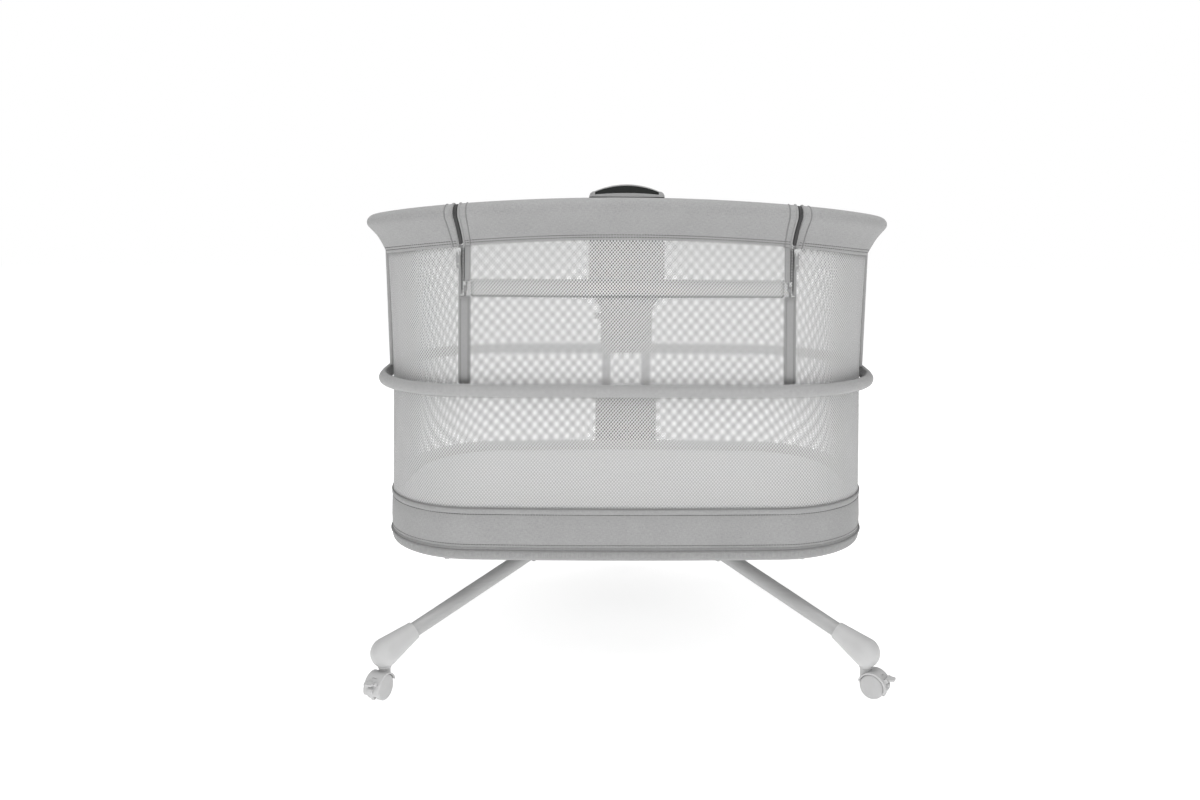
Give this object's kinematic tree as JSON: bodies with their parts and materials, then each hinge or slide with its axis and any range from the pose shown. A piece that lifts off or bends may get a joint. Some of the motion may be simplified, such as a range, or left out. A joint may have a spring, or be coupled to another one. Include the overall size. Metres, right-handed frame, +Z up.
{
  "type": "bassinet on stand",
  "caption": "Bedside bassinet with mesh walls, padded rail and fold-down zipped front, on a height-adjustable rear column with splayed legs and braked casters",
  "frame": {"origin": "on the floor, under the centre of the four-legged stand, which is the middle of the overall footprint", "axes": "+X to the right along the long side, -Y towards the fold-down front, +Z up; the column is at +Y"},
  "size_m": [0.9388, 0.7688, 0.858],
  "materials": {
    "hub_grey": "satin moulded plastic",
    "leg_grey": "powder coated tube",
    "foot_grey": "light satin moulded plastic",
    "column_grey": "satin moulded plastic",
    "tube_steel": "grey coated steel",
    "dark_plastic": "black moulded nylon",
    "screw_steel": "zinc plated",
    "head_grey": "satin moulded plastic",
    "panel_black": "gloss black",
    "sleeve_fabric": "plain woven polyester, mid grey",
    "band_fabric": "plain woven polyester, mid grey",
    "mesh_fabric": "open knitted mesh, light grey",
    "tape_fabric": "woven zip tape",
    "piping_fabric": "corded piping",
    "mattress_fabric": "quilted light fabric over foam",
    "strip_fabric": "woven strip",
    "zip_metal": "plated zinc",
    "pull_grey": "coated pull tab",
    "wheel_grey": "light grey nylon wheel"
  },
  "bodies": {
    "base": {"hub_shell": "hub_grey", "hub_cover": "hub_grey", "hub_screws": "screw_steel", "leg_tubes": "leg_grey", "rear_beam": "tube_steel", "column_block_front": "column_grey", "column_block_rear": "column_grey", "column_screws": "screw_steel", "column_tubes": "tube_steel", "tube_caps": "dark_plastic", "foot_front_left": "foot_grey", "foot_front_right": "foot_grey", "foot_rear_left": "foot_grey", "foot_rear_right": "foot_grey"},
    "lift": {"housing_front": "column_grey", "housing_rear": "column_grey", "glide_bushes": "dark_plastic", "head_dome": "head_grey", "control_panel": "panel_black", "ring_tube": "tube_steel", "ring_sleeve": "sleeve_fabric", "ring_bracket": "column_grey", "rail_tube": "tube_steel", "rail_sleeve": "sleeve_fabric", "rail_bracket": "column_grey", "side_posts": "leg_grey", "base_tray": "band_fabric", "mattress": "mattress_fabric", "fabric_band": "band_fabric", "bottom_piping": "piping_fabric", "mesh_front": "mesh_fabric", "mesh_rear": "mesh_fabric", "mesh_left": "mesh_fabric", "mesh_right": "mesh_fabric", "zip_tapes": "tape_fabric", "front_posts": "tube_steel", "hinge_strip": "strip_fabric"},
    "flap": {"flap_rail_tube": "tube_steel", "flap_rail_sleeve": "sleeve_fabric", "flap_mesh": "mesh_fabric", "flap_arms": "tube_steel", "flap_zip_tapes": "tape_fabric"},
    "zip_slider_left": {"zip_slider_left": "zip_metal"},
    "zip_pull_left": {"zip_pull_left": "pull_grey"},
    "zip_slider_right": {"zip_slider_right": "zip_metal"},
    "zip_pull_right": {"zip_pull_right": "pull_grey"},
    "height_pin": {"height_pin": "dark_plastic"},
    "caster_front_left": {"caster_hood_front_left": "foot_grey"},
    "wheels_front_left": {"caster_wheels_front_left": "wheel_grey"},
    "brake_front_left": {"brake_pedal_front_left": "foot_grey"},
    "caster_front_right": {"caster_hood_front_right": "foot_grey"},
    "wheels_front_right": {"caster_wheels_front_right": "wheel_grey"},
    "brake_front_right": {"brake_pedal_front_right": "foot_grey"},
    "caster_rear_left": {"caster_hood_rear_left": "foot_grey"},
    "wheels_rear_left": {"caster_wheels_rear_left": "wheel_grey"},
    "brake_rear_left": {"brake_pedal_rear_left": "foot_grey"},
    "caster_rear_right": {"caster_hood_rear_right": "foot_grey"},
    "wheels_rear_right": {"caster_wheels_rear_right": "wheel_grey"},
    "brake_rear_right": {"brake_pedal_rear_right": "foot_grey"}
  },
  "joints": [
    {"name": "column_slide", "type": "slide", "parent": "base", "child": "lift", "axis": [0, 0, 1], "range_m": [0, 0.18]},
    {"name": "flap_fold", "type": "hinge", "parent": "lift", "child": "flap", "pos_m": [0, -0.314, 0.667], "axis": [1, 0, 0], "range_deg": [0, 145]},
    {"name": "zip_slide_left", "type": "slide", "parent": "lift", "child": "zip_slider_left", "axis": [0, 0, -1], "range_m": [0, 0.06]},
    {"name": "zip_pull_swing_left", "type": "hinge", "parent": "zip_slider_left", "child": "zip_pull_left", "pos_m": [-0.28, -0.3182, 0.728], "axis": [-1, 0, 0], "range_deg": [0, 110]},
    {"name": "zip_slide_right", "type": "slide", "parent": "lift", "child": "zip_slider_right", "axis": [0, 0, -1], "range_m": [0, 0.06]},
    {"name": "zip_pull_swing_right", "type": "hinge", "parent": "zip_slider_right", "child": "zip_pull_right", "pos_m": [0.28, -0.3182, 0.728], "axis": [-1, 0, 0], "range_deg": [0, 110]},
    {"name": "height_pin_pull", "type": "slide", "parent": "lift", "child": "height_pin", "axis": [-1, 0, 0], "range_m": [0, 0.008], "stiffness_N_per_m": 700},
    {"name": "caster_swivel_front_left", "type": "hinge", "parent": "base", "child": "caster_front_left", "pos_m": [-0.396, -0.337, 0.055], "axis": [0, 0, 1], "continuous": true},
    {"name": "wheel_roll_front_left", "type": "hinge", "parent": "caster_front_left", "child": "wheels_front_left", "pos_m": [-0.40147, -0.34989, 0.02], "axis": [0.9205, -0.3907, 0], "continuous": true},
    {"name": "brake_press_front_left", "type": "hinge", "parent": "caster_front_left", "child": "brake_front_left", "pos_m": [-0.41069, -0.37161, 0.0336], "axis": [0.9205, -0.3907, 0], "range_deg": [0, 20]},
    {"name": "caster_swivel_front_right", "type": "hinge", "parent": "base", "child": "caster_front_right", "pos_m": [0.396, -0.337, 0.055], "axis": [0, 0, 1], "continuous": true},
    {"name": "wheel_roll_front_right", "type": "hinge", "parent": "caster_front_right", "child": "wheels_front_right", "pos_m": [0.408, -0.34421, 0.02], "axis": [0.515, 0.8572, 0], "continuous": true},
    {"name": "brake_press_front_right", "type": "hinge", "parent": "caster_front_right", "child": "brake_front_right", "pos_m": [0.42823, -0.35637, 0.0336], "axis": [0.515, 0.8572, 0], "range_deg": [0, 20]},
    {"name": "caster_swivel_rear_left", "type": "hinge", "parent": "base", "child": "caster_rear_left", "pos_m": [-0.396, 0.337, 0.055], "axis": [0, 0, 1], "continuous": true},
    {"name": "wheel_roll_rear_left", "type": "hinge", "parent": "caster_rear_left", "child": "wheels_rear_left", "pos_m": [-0.40147, 0.34989, 0.02], "axis": [-0.9205, -0.3907, 0], "continuous": true},
    {"name": "brake_press_rear_left", "type": "hinge", "parent": "caster_rear_left", "child": "brake_rear_left", "pos_m": [-0.41069, 0.37161, 0.0336], "axis": [-0.9205, -0.3907, 0], "range_deg": [0, 20]},
    {"name": "caster_swivel_rear_right", "type": "hinge", "parent": "base", "child": "caster_rear_right", "pos_m": [0.396, 0.337, 0.055], "axis": [0, 0, 1], "continuous": true},
    {"name": "wheel_roll_rear_right", "type": "hinge", "parent": "caster_rear_right", "child": "wheels_rear_right", "pos_m": [0.40147, 0.34989, 0.02], "axis": [-0.9205, 0.3907, 0], "continuous": true},
    {"name": "brake_press_rear_right", "type": "hinge", "parent": "caster_rear_right", "child": "brake_rear_right", "pos_m": [0.41069, 0.37161, 0.0336], "axis": [-0.9205, 0.3907, 0], "range_deg": [0, 20]}
  ]
}
